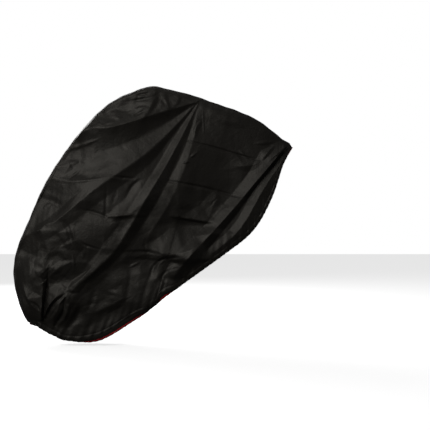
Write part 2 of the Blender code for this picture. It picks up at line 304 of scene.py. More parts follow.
def fold_height(fold, x, z):
    """How far a fold lifts the cloth at points seen from the side."""
    crest = spline(np.array(fold.path) * MM, np.linspace(0, 1, CREST_STEPS + 1) * (len(fold.path) - 1))
    reach = max(*fold.upper, *fold.lower) * MM
    low, high = crest.min(axis=0) - reach, crest.max(axis=0) + reach
    close = (x > low[0]) & (x < high[0]) & (z > low[1]) & (z < high[1])
    lift = np.zeros(x.shape)
    x, z = x[close], z[close]
    nearest = np.full(x.shape, np.inf)
    along = np.zeros(x.shape)
    below = np.zeros(x.shape, bool)
    for step in range(CREST_STEPS):
        start = crest[step]
        run = crest[step + 1] - start
        part = np.clip(((x - start[0]) * run[0] + (z - start[1]) * run[1]) / (run @ run), 0, 1)
        off_x = x - start[0] - part * run[0]
        off_z = z - start[1] - part * run[1]
        distance = np.hypot(off_x, off_z)
        closer = distance < nearest
        nearest = np.where(closer, distance, nearest)
        along = np.where(closer, (step + part) / CREST_STEPS, along)
        below = np.where(closer, run[0] * off_z > run[1] * off_x, below)
    flank = np.where(below, spread(fold.lower, along), spread(fold.upper, along)) * MM
    out = np.clip(nearest / flank, 0, 1)
    profile = (1 - out) ** fold.sharp if fold.sharp else (1 - out * out) ** 2
    rise, fall = fold.fade
    if rise:
        profile = profile * ease(along / rise)
    if fall:
        profile = profile * ease((1 - along) / fall)
    lift[close] = spread(fold.height, along) * MM * profile
    return lift


print(len(RIGHT_FOLDS), "folds on the right,", len(LEFT_FOLDS), "on the left")

# %% [markdown]
# ## Creases
# The cover is sold folded in a pouch, so straight packing creases cross it, and between them the
# thin cloth stays in flat facets. A crease is a narrow fold: a height above 0 stands proud, with
# its upper side lit, and one below 0 is a valley, dark above and lit below. These are the ones
# that show from the visible side.

# %% Crease rows
Crease = namedtuple("Crease", "name path height upper lower sharp")
SWELL = (0, 0.7, 1, 0.7, 0)    # how a crease of one height rises and dies along its path
LEAST_FLANK = 0.45            # how narrow it gets there
RIGHT_CREASES = (
    Crease("edge tail line", ((-312, -228), (-379, -250), (-455, -270)), (0, 4, 4.5, 3), 10, 12, 1),
    Crease("top edge line", ((-52, -29), (-97, -45), (-164, -54), (-218, -60)),
           (0, -3, -3.5, -1.5, 0), 12, 14, 0),
    Crease("top dimple", ((-84, -18), (-119, -26), (-155, -27)), (-4.5,), 10, 9, 0),
    Crease("top lens", ((-97, -85), (-128, -87), (-155, -94)), (6,), 10, 20, 1),
    Crease("top long line", ((-164, -98), (-213, -100), (-249, -89)), (-4,), 9, 9, 0),
    Crease("top vee right", ((-106, -96), (-169, -130)), (-5,), 8, 9, 0),
    Crease("top vee left", ((-169, -130), (-195, -98)), (-5,), 9, 8, 0),
    Crease("top wedge", ((-213, -136), (-236, -130), (-267, -114)), (7.5,), 16, 12, 1),
    Crease("top small wedge", ((-231, -112), (-267, -105)), (5,), 10, 9, 1),
    Crease("rear wedge", ((-289, -170), (-316, -156), (-334, -130)), (7.5,), 18, 10, 1),
    Crease("rear nick", ((-249, -152), (-294, -161)), (4.5,), 10, 9, 1),
    Crease("rear cut", ((-298, -98), (-271, -125)), (-4.5,), 8, 8, 0),
    Crease("top fall one", ((-135, -27), (-160, -80)), (-4,), 8, 8, 0),
    Crease("top fall two", ((-43, -13), (-52, -67), (-84, -116)), (-4.5,), 8, 9, 0),
    Crease("top fall three", ((-39, -40), (-12, -85)), (-4,), 8, 8, 0),
    Crease("rear gather one", ((-356, -163), (-330, -177)), (-4.5,), 7, 7, 0),
    Crease("rear gather two", ((-361, -174), (-321, -197)), (-4.5,), 7, 7, 0),
    Crease("flank hollow", ((-231, -320), (-294, -326), (-348, -349), (-383, -376)),
           (0, -4, -4, 0), 34, 42, 0),
    Crease("flank mark one", ((-222, -255), (-195, -282)), (-2.5,), 8, 8, 0),
    Crease("flank mark two", ((-298, -273), (-267, -304)), (-2.5,), 8, 8, 0),
    Crease("flank mark three", ((-365, -295), (-356, -326)), (-2,), 8, 8, 0),
    Crease("flank slash", ((-401, -367), (-450, -407)), (-4,), 10, 9, 0),
    Crease("edge wedge", ((-406, -326), (-446, -335), (-486, -324)), (0, 7.5, 7.5, 4.5), 14, 16, 1),
    Crease("edge spot", ((-370, -331), (-406, -326)), (4.5,), 9, 11, 1),
    Crease("edge facet", ((-433, -362), (-464, -347), (-495, -349)), (0, 9, 10.5, 9), 12, 48, 1),
    Crease("high line", ((-133, -407), (-200, -403), (-267, -398)), (-4.5,), 8, 9, 0),
    Crease("high line nick", ((-204, -394), (-209, -416)), (-2.5,), 6, 6, 0),
    Crease("high ledge", ((-267, -403), (-379, -416), (-446, -418), (-527, -403)),
           (3, 8, 8, 6), 30, 70, 1),
    Crease("high ledge lip", ((-267, -405), (-379, -416), (-446, -420), (-527, -403)),
           (0, 2.5, 2.5, 2), 9, 8, 0),
    Crease("small tick", ((-491, -425), (-466, -456)), (2.5,), 8, 8, 0),
    Crease("second line", ((-473, -534), (-500, -523), (-535, -508), (-585, -494)),
           (0, -6, -6, -5), 26, 22, 1),
    Crease("second tick", ((-531, -514), (-571, -537)), (3,), 9, 10, 1),
    Crease("middle ledge", ((-155, -568), (-204, -574), (-276, -578)), (0, 5, 6, 4), 16, 9, 1),
    Crease("middle line", ((-280, -577), (-343, -556), (-388, -546), (-446, -534)),
           (-7, -7, -6, 0), 44, 46, 1),
    Crease("middle line lip", ((-280, -577), (-343, -556), (-388, -546)), (-3, -3, 0), 8, 8, 0),
    Crease("upright line", ((-278, -420), (-283, -577)), (-1, -3, -3), 8, 8, 0),
    Crease("upright ridge", ((-285, -581), (-289, -725)), (3, 3.5, 3, 0), 55, 42, 1),
    Crease("curved line", ((-133, -414), (-169, -447), (-191, -492), (-236, -537)),
           (-3, -5.5, -4, 0), 12, 24, 1),
    Crease("upright soft line", ((-231, -452), (-254, -528)), (-2,), 12, 12, 0),
    Crease("low line", ((-294, -727), (-348, -711), (-374, -701), (-415, -678)), (-4,), 8, 9, 0),
    Crease("low fall", ((-482, -590), (-450, -631), (-437, -680), (-421, -738)), (-5,), 18, 18, 0),
    Crease("low fall two", ((-509, -644), (-482, -689), (-455, -734)), (-3,), 18, 16, 0),
    Crease("low tick", ((-431, -743), (-421, -814)), (3.5,), 9, 9, 0),
    Crease("low branch", ((-370, -702), (-388, -769)), (2.5,), 10, 12, 0),
    Crease("dark triangle top", ((-433, -774), (-491, -805), (-540, -848)), (0, 8, 9), 26, 50, 1),
    Crease("dark triangle foot", ((-442, -904), (-540, -848)), (-3, -9, -10, -8), 50, 60, 1),
    Crease("left brow", ((-491, -640), (-571, -640), (-616, -648), (-652, -664)),
           (0, 6, 8, 8), 20, 60, 1),
    Crease("left sill", ((-553, -778), (-580, -760), (-616, -751), (-674, -734)),
           (0, -7, -8, -6), 60, 16, 1),
    Crease("left post", ((-585, -693), (-594, -765)), (2.5,), 12, 12, 0),
    Crease("deep fall one", ((-538, -796), (-547, -881), (-558, -957), (-567, -1038)),
           (-2, -4, -5, -4), 7, 8, 1),
    Crease("deep fall two", ((-450, -908), (-491, -942), (-527, -984), (-558, -1033)),
           (-2, -5, -7, -6), 14, 13, 1),
    Crease("deep fall three", ((-464, -944), (-475, -1007), (-513, -1065)), (-3, -6, -6, -4), 11, 12, 1),
    Crease("deep fall four", ((-629, -953), (-598, -973), (-573, -1002)), (-6,), 12, 10, 1),
    Crease("deep fall five", ((-397, -953), (-406, -1002), (-419, -1038), (-450, -1074)),
           (0, -4, -5, -3), 20, 18, 0),
    Crease("deep fall six", ((-330, -895), (-343, -948), (-365, -993)), (0, -4, -4, 0), 20, 18, 0),
    Crease("deep fall seven", ((-437, -948), (-446, -1002), (-473, -1065)), (-3,), 12, 12, 0),
    Crease("low shelf", ((37, -757), (-21, -751), (-101, -734), (-182, -732)),
           (0, -6, -7, -3), 9, 26, 1),
    Crease("low shelf lip", ((100, -769), (37, -760), (-21, -765), (-43, -774)),
           (0, -4, -4.5, -4.5), 9, 9, 0),
    Crease("low shelf fall", ((-43, -774), (-66, -798), (-79, -823), (-90, -859)),
           (-4.5, -6, -5, 0), 9, 10, 0),
    Crease("foot curl", ((64, -803), (10, -812), (-21, -828), (-34, -850), (-21, -877), (-3, -904)),
           (0, -1.8, -2.2, -2.2, -1.8, 0), 8, 9, 0),
    Crease("third fold foot", ((-101, -662), (-110, -707), (-99, -736)), (0, -3, -2.5), 9, 8, 0),
    Crease("low tick two", ((-128, -778), (-186, -807)), (2.5,), 9, 9, 0),
    Crease("low upright one", ((-173, -814), (-182, -904), (-200, -984)), (-2.5,), 14, 14, 0),
    Crease("low upright two", ((-93, -854), (-106, -904), (-128, -962)), (-2,), 12, 14, 0),
    Crease("casing edge", ((-30, -926), (-88, -968), (-142, -1004), (-204, -1020)),
           (0, 3, 3, 0), 12, 20, 1),
    Crease("front long line", ((418, -326), (315, -300), (203, -267), (86, -237)),
           (0, -3, -4.5, -4.5, -4, -2), 8, 10, 0),
    Crease("front branch", ((312, -275), (355, -322)), (4,), 8, 8, 0),
    Crease("front facet", ((413, -329), (359, -349), (288, -349)), (5,), 34, 24, 1),
    Crease("front low line", ((319, -490), (247, -471), (136, -443), (-3, -417)),
           (-1, -4, -4.5, -4.5, -3), 8, 10, 0),
    Crease("front sheen", ((359, -161), (247, -125), (136, -76)), (6,), 70, 50, 0),
    Crease("front fall", ((149, -76), (155, -228)), (1.2,), 6, 6, 0),
    Crease("top facet one", ((-62, -20), (-75, -70), (-97, -112)), (2, 6, 5), 60, 9, 1),
    Crease("top facet two", ((-20, -30), (-12, -60), (-5, -88)), (2, 6, 4), 50, 9, 1),
    Crease("top facet three", ((45, -38), (35, -65), (20, -82)), (2, 5, 3), 50, 9, 1),
    Crease("tip facet", ((533, -251), (480, -300)), (6, 4), 60, 8, 1),
    Crease("front blob", ((145, -147), (120, -174), (111, -228)), (6,), 12, 18, 1),
    Crease("front tick one", ((127, -286), (91, -315)), (4,), 9, 9, 0),
    Crease("front tick two", ((95, -331), (55, -335)), (4,), 8, 8, 0),
    Crease("front ledge", ((203, -607), (136, -596), (69, -585), (-10, -574)),
           (2, 9, 10, 10, 7, 0), 44, 7, 1),
    Crease("front lit facet", ((216, -452), (203, -514), (176, -573)), (5,), 54, 24, 1),
    Crease("front mark", ((221, -488), (198, -510), (180, -537)), (-2,), 5, 5, 0),
    Crease("front tick three", ((151, -602), (165, -653)), (-2.5,), 8, 8, 0),
    Crease("tip streak one", ((480, -235), (426, -244), (377, -248)), (3,), 14, 14, 0),
    Crease("tip streak two", ((476, -253), (440, -288), (413, -326)), (7,), 16, 15, 1),
)


def crease_height(crease, x, z):
    """A crease is a fold whose flanks narrow where it is low. One height dies out at both ends."""
    height = np.array(crease.height if len(crease.height) > 1 else crease.height * np.array(SWELL))
    narrow = LEAST_FLANK + (1 - LEAST_FLANK) * np.abs(height) / np.abs(height).max()
    return fold_height(Fold(crease.name, crease.path, height, crease.upper * narrow,
                            crease.lower * narrow, crease.sharp, (0, 0)), x, z)


# The panels were packed together, so the longest creases run through both.
SHARED_CREASES = ("high", "middle", "front long", "front low", "low shelf", "second line", "upright",
                  "top vee", "edge facet", "left brow", "deep fall", "flank hollow")
LEFT_CREASES = tuple(crease for crease in RIGHT_CREASES if crease.name.startswith(SHARED_CREASES))

print(len(RIGHT_CREASES), "creases on the right,", len(LEFT_CREASES), "of them also on the left")

# %% [markdown]
# ## Facets between the creases
# Between the long creases the cloth lies in flat facets that meet in straight ridges and valleys.
# Such a surface is given by the lines alone: each point on a line has a height, the lines become
# edges of a triangle mesh, and every triangle between them is flat.

# %% Facet lines
FACET_LINES = (
    ((-527, -403, 4), (-437, -420, 7), (-365, -416, 5), (-307, -407, 2)),
    ((-585, -496, -3), (-527, -514, -5), (-473, -532, -3)),
    ((-625, -564, 2), (-576, -599, 4)),
    ((-263, -407, 0), (-419, -532, 0), (-509, -599, 0), (-598, -653, 3), (-661, -680, 0)),
    ((-428, -537, 0), (-356, -555, -3), (-285, -568, -6)),
    ((-280, -434, 0), (-280, -501, -3), (-285, -568, -6), (-289, -644, 2), (-289, -720, 8)),
    ((-249, -398, 2), (-195, -403, 2), (-137, -411, 1)),
    ((-137, -411, 1), (-169, -443, -5), (-178, -461, -6), (-222, -514, -7), (-267, -564, -7)),
    ((-267, -564, -7), (-227, -573, 4), (-173, -568, 9)),
    ((-93, -403, 0), (-106, -501, 6), (-173, -568, 9)),
    ((-258, -599, -2), (-204, -590, -1), (-164, -586, 2)),
    ((-204, -590, -1), (-231, -653, 5), (-263, -720, 6)),
    ((-415, -684, 3), (-356, -702, 6), (-303, -725, 7)),
    ((-491, -649, 0), (-419, -617, -3), (-348, -599, 0)),
    ((-468, -599, -3), (-437, -640, 3), (-433, -671, -2)),
    ((-661, -680, 4), (-607, -707, -1), (-544, -693, -2), (-491, -716, -6)),
    ((-634, -626, 8), (-558, -617, 8), (-491, -649, 0)),
    ((-544, -693, -2), (-500, -751, -9), (-446, -783, 2)),
    ((-415, -684, 3), (-392, -734, -5), (-365, -783, 0), (-343, -801, 6)),
    ((-683, -743, 0), (-638, -751, -3), (-594, -760, -5)),
    ((-688, -778, 0), (-634, -796, 0), (-589, -778, -4)),
    ((-652, -823, 4), (-612, -805, 1), (-580, -841, 9), (-625, -863, 2), (-661, -886, 4),
     (-612, -913, 2), (-589, -890, 9), (-562, -872, 12)),
    ((-544, -810, 3), (-549, -872, 1), (-556, -935, -4), (-558, -984, -4), (-562, -1047, -2)),
    ((-562, -872, 5), (-569, -935, 11), (-571, -984, 14), (-576, -1038, 12)),
    ((-540, -836, 3), (-527, -854, 5), (-491, -881, 8), (-455, -904, 9)),
    ((-518, -832, 5), (-446, -783, 4), (-370, -823, -4), (-437, -863, -2)),
    ((-455, -917, 0), (-491, -944, -3), (-518, -966, -2), (-544, -1002, 6), (-553, -1047, 9)),
    ((-504, -935, 7), (-535, -971, 13), (-550, -998, 14)),
    ((-464, -935, 3), (-468, -966, -1), (-477, -998, -1), (-495, -1033, 6), (-522, -1060, 9)),
    ((-486, -962, 9), (-500, -998, 14), (-518, -1029, 13)),
    ((-406, -962, 4), (-419, -1007, 0), (-437, -1042, 4), (-464, -1069, 7)),
    ((-442, -962, 9), (-450, -1002, 14), (-473, -1042, 13)),
    ((-267, -1002, 0), (-312, -1029, 0), (-348, -1060, 0), (-374, -1083, 3)),
    ((-365, -971, 3), (-374, -1015, 6), (-392, -1056, 7)),
    ((-285, -751, 2), (-343, -801, 6), (-419, -877, 9), (-455, -904, 9)),
    ((-312, -814, -3), (-365, -868, -6), (-401, -917, -3), (-406, -962, 3)),
    ((-683, -881, 2), (-652, -935, -1), (-620, -989, 4), (-598, -1047, 6)),
    ((-661, -886, 4), (-634, -944, 11), (-594, -998, 14)),
    ((-178, -729, 5), (-146, -734, 8), (-110, -743, 11), (-34, -751, 15), (28, -760, 18),
     (95, -769, 18)),
    ((-164, -765, 1), (-97, -769, 0), (-43, -774, 1), (28, -783, 0), (82, -792, 2)),
    ((-43, -774, 1), (-66, -796, -3), (-79, -836, -3), (-84, -863, 0)),
    ((28, -783, 0), (-16, -814, -1), (-25, -854, -1), (-8, -886, 0)),
    ((-52, -801, 3), (-52, -850, 3)),
    ((6, -814, 4), (10, -863, 4)),
    ((-164, -765, 1), (-173, -805, -1), (-186, -841, 2)),
    ((-213, -783, 1), (-218, -863, 2), (-209, -939, 1)),
    ((-186, -841, 2), (-191, -895, -1), (-195, -944, 0)),
    ((-128, -796, 2), (-137, -872, 4), (-151, -948, 3)),
    ((-101, -787, -1), (-106, -877, 1), (-119, -953, 2)),
    ((-3, -899, 2), (-75, -939, 4), (-142, -993, 3), (-173, -1024, 2)),
    ((-204, -975, -1), (-280, -1015, -1), (-330, -1056, 0)),
    ((-195, -944, -2), (-258, -971, 5), (-312, -998, 4)),
    ((-173, -1024, 2), (-236, -1042, 3), (-271, -1069, 2), (-321, -1092, 0)),
    ((73, -232, 8), (149, -250, 6), (225, -273, 4), (306, -300, 2), (413, -322, 2)),
    ((297, -277, 0), (337, -349, 6), (359, -376, 3)),
    ((37, -420, 8), (113, -434, 4), (194, -461, 0), (310, -474, -1)),
    ((194, -461, 0), (140, -519, -5), (104, -577, 4), (194, -599, 9), (247, -537, 9), (310, -474, -1)),
    ((-3, -573, 0), (46, -581, 3), (113, -590, 6), (194, -604, 8)),
    ((-8, -613, 0), (91, -617, 3), (194, -622, 7)),
    ((-8, -662, 7), (60, -662, 10), (120, -662, 13), (185, -655, 15)),
    ((-93, -577, 0), (-52, -626, 0), (-88, -680, 3)),
    ((-130, -660, -3), (-60, -722, 8)),
    ((91, -76, 0),),
    ((10, -232, 4),),
    ((-57, -376, 0),),
    ((55, -344, 8),),
    ((158, -165, 0),),
    ((225, -367, 0),),
    ((359, -232, 0),),
    ((-222, -725, 0),),
    ((-267, -823, 0),),
    ((-312, -913, 0),),
    ((-424, -322, 0),),
    ((-222, -277, 0),),
    ((-222, -143, 0),),
    ((-88, -76, 0),),
    ((91, -45, 0), (1, -22, 0), (-133, -18, 0), (-267, -71, 0), (-379, -179, 0), (-482, -300, 0),
     (-549, -425, 0), (-612, -532, 0), (-670, -662, 0), (-705, -778, 0), (-697, -904, 0),
     (-647, -1047, 4), (-558, -1096, 4), (-446, -1136, 2), (-330, -1150, 0), (-178, -1069, 0),
     (-43, -971, 0), (69, -881, 0), (203, -769, 0), (337, -658, 0), (413, -523, 0), (471, -389, 0),
     (547, -264, 0), (449, -143, 0), (270, -76, 0), (91, -45, 0)),
)


def triangle_heights(corners, triangles, x, z):
    """The height of a mesh of flat triangles at points seen from the side."""
    tree = BVHTree.FromPolygons([Vector(corner) for corner in corners], triangles)
    down = Vector((0, 0, -1))
    out = np.zeros(x.size)
    for index, (px, pz) in enumerate(zip(x.flat, z.flat)):
        hit = tree.ray_cast(Vector((px, pz, 2)), down)[0]
        if hit:
            out[index] = hit[2]
    return out.reshape(x.shape)


def facet_lines_height(lines, x, z):
    """The height of flat triangles spanned between lines of (x, z, height) points."""
    heights = {point[:2]: point[2] for line in reversed(lines) for point in line}
    spots = list(heights)
    edges = {(spots.index(start[:2]), spots.index(end[:2]))
             for line in lines for start, end in zip(line, line[1:])}
    made = geometry.delaunay_2d_cdt([Vector(spot) * MM for spot in spots], sorted(edges), [], 0, 1e-6)
    corners = [(*corner, (heights[spots[sources[0]]] if sources else 0) * MM)
               for corner, sources in zip(made[0], made[3])]
    return triangle_heights(corners, made[2], x, z)


print(len(FACET_LINES), "facet lines with", sum(len(line) for line in FACET_LINES), "points")

# %% [markdown]
# ## Crumple
# Between the creases that can be pointed out, thin coated nylon crumples into flat facets of all
# sizes. Scattered points with random heights, joined into triangles, are a good model of it: every
# triangle is a facet. Some places are crumpled more than others.

# %% Facet fields
Place = namedtuple("Place", "x z wide tall amount")
CRUMPLED = (
    Place(-230, -70, 230, 70, 1.0),
    Place(-420, -330, 90, 160, 0.7),
    Place(-560, -800, 110, 130, 1.6),
    Place(-400, -980, 190, 90, 1.3),
    Place(-60, -860, 200, 130, 0.8),
    Place(150, -520, 90, 60, 0.6),
)
FIELD_LOW = (-0.80, -1.25)
FIELD_HIGH = (0.65, 0.10)


def crumple(x, z, least):
    """How crumpled the cloth is at each point."""
    total = np.full(x.shape, least)
    for place in CRUMPLED:
        away = ((x / MM - place.x) / place.wide) ** 2 + ((z / MM - place.z) / place.tall) ** 2
        total += place.amount * np.exp(-away)
    return total


def facet_field(seed, size, x, z):
    """Heights from -1 to 1 over flat triangles of about the given size."""
    rng = np.random.default_rng(seed)
    across, up = (int((high - low) / size) + 1 for low, high in zip(FIELD_LOW, FIELD_HIGH))
    grid = np.stack(np.meshgrid(np.arange(across), np.arange(up), indexing="ij"), axis=-1).reshape(-1, 2)
    spots = FIELD_LOW + (grid + rng.uniform(-0.42, 0.42, grid.shape)) * size
    heights = rng.uniform(-1, 1, len(spots))
    made = geometry.delaunay_2d_cdt([Vector(spot) for spot in spots], [], [], 0, 1e-6)
    corners = [(*spot, height) for spot, height in zip(made[0], heights)]
    return triangle_heights(corners, made[2], x, z)


print(len(CRUMPLED), "places are crumpled more than the rest")

# %% [markdown]
# ## Gathers at the hem
# The hem is a casing sewn round an elastic. The elastic draws the cloth up into small pleats that
# stand close together at the rim and die out above it. A zigzag with uneven spacing makes them.

# %% Gathers and casing
Gather = namedtuple("Gather", "pitch height reach")
GATHERS = (Gather(0.046, 0.0026, 0.085), Gather(0.024, 0.0014, 0.034))
CASING_WIDTH = 0.017
CASING_BULGE = 0.0007
SEAM_SINK = 0.0007
SEAM_SPREAD = 0.0042
RUFFLE = 0.0011               # how far the rim itself wavers
RIDGE_WAVER = Gather(0.075, 0.0012, 0)
RIDGE_SEAM_WIDTH = 0.011      # the allowance of the ridge seam is sewn down flat
RIDGE_SEAM_HEIGHT = 0.0009


def zigzag(distance, pitch, rng):
    """Uneven pleats from -1 to 1 along a line."""
    knots = np.arange(-pitch, distance[-1] + pitch, pitch / 2)
    places = knots + rng.uniform(-0.3, 0.3, len(knots)) * pitch / 2
    heights = rng.uniform(0.25, 1, len(knots)) * np.where(np.arange(len(knots)) % 2, 1, -1)
    return np.interp(distance, places, heights)


def hem_lift(along_rim, from_rim, seed):
    """Pleats above the rim, the round casing, and the sunk line of stitches above it."""
    rng = np.random.default_rng(seed)
    lift = CASING_BULGE * np.sqrt(np.sin(np.pi * np.clip(from_rim / CASING_WIDTH, 0, 1)))
    lift -= SEAM_SINK * np.exp(-((from_rim - CASING_WIDTH) / SEAM_SPREAD) ** 2)
    for gather in GATHERS:
        wave = zigzag(along_rim, gather.pitch, rng)
        reach = gather.reach * (1 + 0.4 * zigzag(along_rim, 2 * gather.pitch, rng))
        lift += gather.height * wave[:, None] * np.exp(-(from_rim / reach[:, None]) ** 2)
    return lift


print("pleats every", [gather.pitch for gather in GATHERS], "m at the hem")

# %% [markdown]
# ## The side panels
# The sheet starts as a plain grid. Each of its points moves to its place on the panel: along the
# ridge by its column, and from ridge to rim by its row. The last rows roll under as the hem. The
# two panels are sewn together along the ridge, so their first rows lie on the middle plane.

# %% Side surface
FINE_HEM_ROWS = 10
CASING_ROWS = 14
CASING_ZONE = 0.034
# Facets of three sizes: size, height, and how crumpled even the calmest place is.
FACETS = ((0.085, 0.0030, 0.7), (0.040, 0.0024, 0.4), (0.020, 0.0009, 0.3))
ROW_CROWDING = 1.15
RIDGE_SEED = 3                # both sides share it, so that the ridge wavers as one
WELD_DISTANCE = 0.00002


def side_surface(folds, creases, lines, seed, columns, rows):
    """Points (x, half width, z) of one side's outer face, the tape's edges, and the cloth's maps."""
    table = np.array(SECTIONS)
    table[:, :-1] *= MM
    ridge_step = np.hypot(*np.diff(table[:, 0:2], axis=0).T)
    rim_step = np.hypot(*np.diff(table[:, 2:4], axis=0).T)
    reach = np.concatenate(([0], np.cumsum(ridge_step + rim_step)))
    places = np.interp(np.linspace(0, reach[-1], columns + 1), reach, np.arange(len(table)))
    section = spline(table, places)
    ridge = section[:, 0:2]
    rim = section[:, 2:4]
    drop, shoulder, belly, rim_half, turned = np.maximum(section[:, 4:].T, 0)
    ridge_way = np.gradient(ridge, axis=0)
    along_ridge = np.concatenate(([0], np.cumsum(np.hypot(*np.diff(ridge, axis=0).T))))
    waver = zigzag(along_ridge, RIDGE_WAVER.pitch, np.random.default_rng(RIDGE_SEED))
    waver *= RIDGE_WAVER.height
    waver *= ease(rim_half / HEM_FULL_HALF_WIDTH)
    ridge = ridge + (ridge_way[:, ::-1] * (-1, 1)) / np.hypot(*ridge_way.T)[:, None] * waver[:, None]
    away = np.gradient(rim, axis=0)[:, ::-1] * (1, -1)
    away *= (np.sign(np.sum(away * (rim - ridge), axis=1)) / np.hypot(*away.T))[:, None]

    scale = np.clip(rim_half / HEM_FULL_HALF_WIDTH, HEM_LEAST_SCALE, 1)
    roll = HEM_ROLL * np.clip(turned, 0.01, 1)
    hem = np.arange(1, FINE_HEM_ROWS + 1) / FINE_HEM_ROWS
    angle = hem[None, :] * roll[:, None]
    bend = (HEM_LENGTH * scale / roll)[:, None]
    hem_down = bend * np.sin(angle)
    hem_in = bend * (1 - np.cos(angle))
    tape_down = TAPE_WIDTH * scale * np.cos(roll)
    tape_in = TAPE_WIDTH * scale * np.sin(roll)
    furthest = np.maximum(hem_down.max(axis=1), hem_down[:, -1] + np.maximum(tape_down, 0))
    foot = rim - away * furthest[:, None]
    depth = np.hypot(*(foot - ridge).T)
    down = (foot - ridge) / depth[:, None]

    casing_zone = np.minimum(CASING_ZONE, 0.3 * depth)[:, None]
    share = np.linspace(0, 1, rows - CASING_ROWS + 1) ** ROW_CROWDING
    fine = np.linspace(0, 1, CASING_ROWS + 1)[1:]
    above = depth[:, None] - casing_zone
    along = np.hstack((above * share[None, :], above + casing_zone * fine[None, :]))
    x = ridge[:, 0:1] + down[:, 0:1] * along
    z = ridge[:, 1:2] + down[:, 1:2] * along
    along_rim = np.concatenate(([0], np.cumsum(np.hypot(*np.diff(foot, axis=0).T))))
    from_rim = depth[:, None] - along
    top = np.minimum(drop, MOST_DROP * depth)[:, None]
    middle_row = BELLY_PLACE * depth[:, None]
    turn_over = np.clip(along / np.maximum(top, MM), 0, 1)
    half = SEAM_HALF_GAP + shoulder[:, None] * np.sqrt(1 - (1 - turn_over) ** 2)
    half += (belly - shoulder)[:, None] * ease((along - top) / (middle_row - top))
    half += (rim_half - belly)[:, None] * ease((along - middle_row) / (depth[:, None] - middle_row))
    lift = sum(fold_height(fold, x, z) for fold in folds)
    lift = lift + sum(crease_height(crease, x, z) for crease in creases)
    lift = lift + facet_lines_height(lines, x, z) if lines else lift
    for number, (size, height, least) in enumerate(FACETS):
        lift = lift + height * crumple(x, z, least) * facet_field(seed + number, size, x, z)
    lift = lift + hem_lift(along_rim, from_rim, seed)
    lift += RIDGE_SEAM_HEIGHT * ease((RIDGE_SEAM_WIDTH - along) / 0.002 + 0.5)
    tip_fade = ease(rim_half / HEM_FULL_HALF_WIDTH)[:, None]
    half += lift * ease(along / RIDGE_ROUND) * tip_fade
    half = np.maximum(half, SEAM_HALF_GAP)
    wander = RUFFLE * zigzag(along_rim, GATHERS[1].pitch, np.random.default_rng(seed + 7))[:, None]
    wander = wander * tip_fade * np.exp(-(from_rim / CASING_WIDTH) ** 2)
    x = x + away[:, 0:1] * wander
    z = z + away[:, 1:2] * wander

    def beyond(go_down, go_in):
        return (x[:, -1:] + away[:, 0:1] * go_down, half[:, -1:] - go_in,
                z[:, -1:] + away[:, 1:2] * go_down)

    hem_x, hem_half, hem_z = beyond(hem_down, hem_in)
    wall_and_hem = ((x, hem_x), (half, hem_half), (z, hem_z))
    points = np.stack([np.hstack(pair) for pair in wall_and_hem], axis=-1)
    points[..., 1] += CLOTH_THICKNESS / 2
    points[:, 0, 1] = 0           # the panels meet along the ridge seam, from tip to tail
    points[(0, -1), :, 1] = 0
    hem_out = (HEM_LENGTH * scale)[:, None] * hem[None, :]
    maps = {"flat": (np.hstack((x, x[:, -1:] + away[:, 0:1] * hem_out)),
                     np.hstack((z, z[:, -1:] + away[:, 1:2] * hem_out))),
            "ridge": (along_ridge[:, None], np.hstack((along, along[:, -1:] + hem_out))),
            "hem": (along_rim[:, None], np.hstack((from_rim, -hem_out)))}
    maps = {name: np.stack(np.broadcast_arrays(*pair), axis=-1) for name, pair in maps.items()}
    edges = []
    for way in (-TAPE_GRIP, 1 - TAPE_GRIP):
        edge = beyond((hem_down[:, -1] + tape_down * way)[:, None],
                      (hem_in[:, -1] + tape_in * way)[:, None])
        edges.append(np.hstack(edge))
    edges = np.stack(edges, axis=1)
    edges[..., 1] += CLOTH_THICKNESS / 2
    edges[(0, -1), :, 1] = 0
    return points, edges, maps


def grid_sheet(name, points, maps, outward):
    """A grid moved onto a table of points, columns by rows, with its maps as UV layers."""
    columns, rows = points.shape[0] - 1, points.shape[1] - 1
    shape = bmesh.new()
    bmesh.ops.create_grid(shape, x_segments=columns, y_segments=rows, size=0.5)
    cells = {vert: (round((vert.co.x + 0.5) * columns), round((vert.co.y + 0.5) * rows))
             for vert in shape.verts}
    for vert, cell in cells.items():
        vert.co = points[cell]
    for label, places in maps.items():
        layer = shape.loops.layers.uv.new(label)
        for vert, cell in cells.items():
            for loop in vert.link_loops:
                loop[layer].uv = places[cell]
    if not outward:
        bmesh.ops.reverse_faces(shape, faces=shape.faces)
    bmesh.ops.remove_doubles(shape, verts=shape.verts, dist=WELD_DISTANCE)
    mesh = bpy.data.meshes.new(name)
    shape.to_mesh(mesh)
    shape.free()
    mesh.shade_smooth()
    piece = bpy.data.objects.new(name, mesh)
    scene.collection.objects.link(piece)
    return piece


COLUMNS = 330                 # one number for both sides, so that their edges meet at the ridge
RIGHT_ROWS, LEFT_ROWS = 290, 240
RIGHT_SEED, LEFT_SEED = 10, 20
right_points, right_tape, right_maps = side_surface(
    RIGHT_FOLDS, RIGHT_CREASES, FACET_LINES, RIGHT_SEED, COLUMNS, RIGHT_ROWS)
right_points = right_points * (1, -1, 1)
right_tape = right_tape * (1, -1, 1)
left_points, left_tape, left_maps = side_surface(
    LEFT_FOLDS, LEFT_CREASES, (), LEFT_SEED, COLUMNS, LEFT_ROWS)
right_cloth = grid_sheet("right_cloth", right_points, right_maps, True)
left_cloth = grid_sheet("left_cloth", left_points, left_maps, False)
print("right panel:", len(right_cloth.data.polygons), "faces; left:", len(left_cloth.data.polygons))

# %% [markdown]
# ## Binding tape
# The cut edge of the hem is bound with red tape, sewn on in one loop that runs down the right
# side and back up the left. It is a strip with two rows of points, made thick by Solidify. It
# laps a little over the cut edge, so no light shows between them.

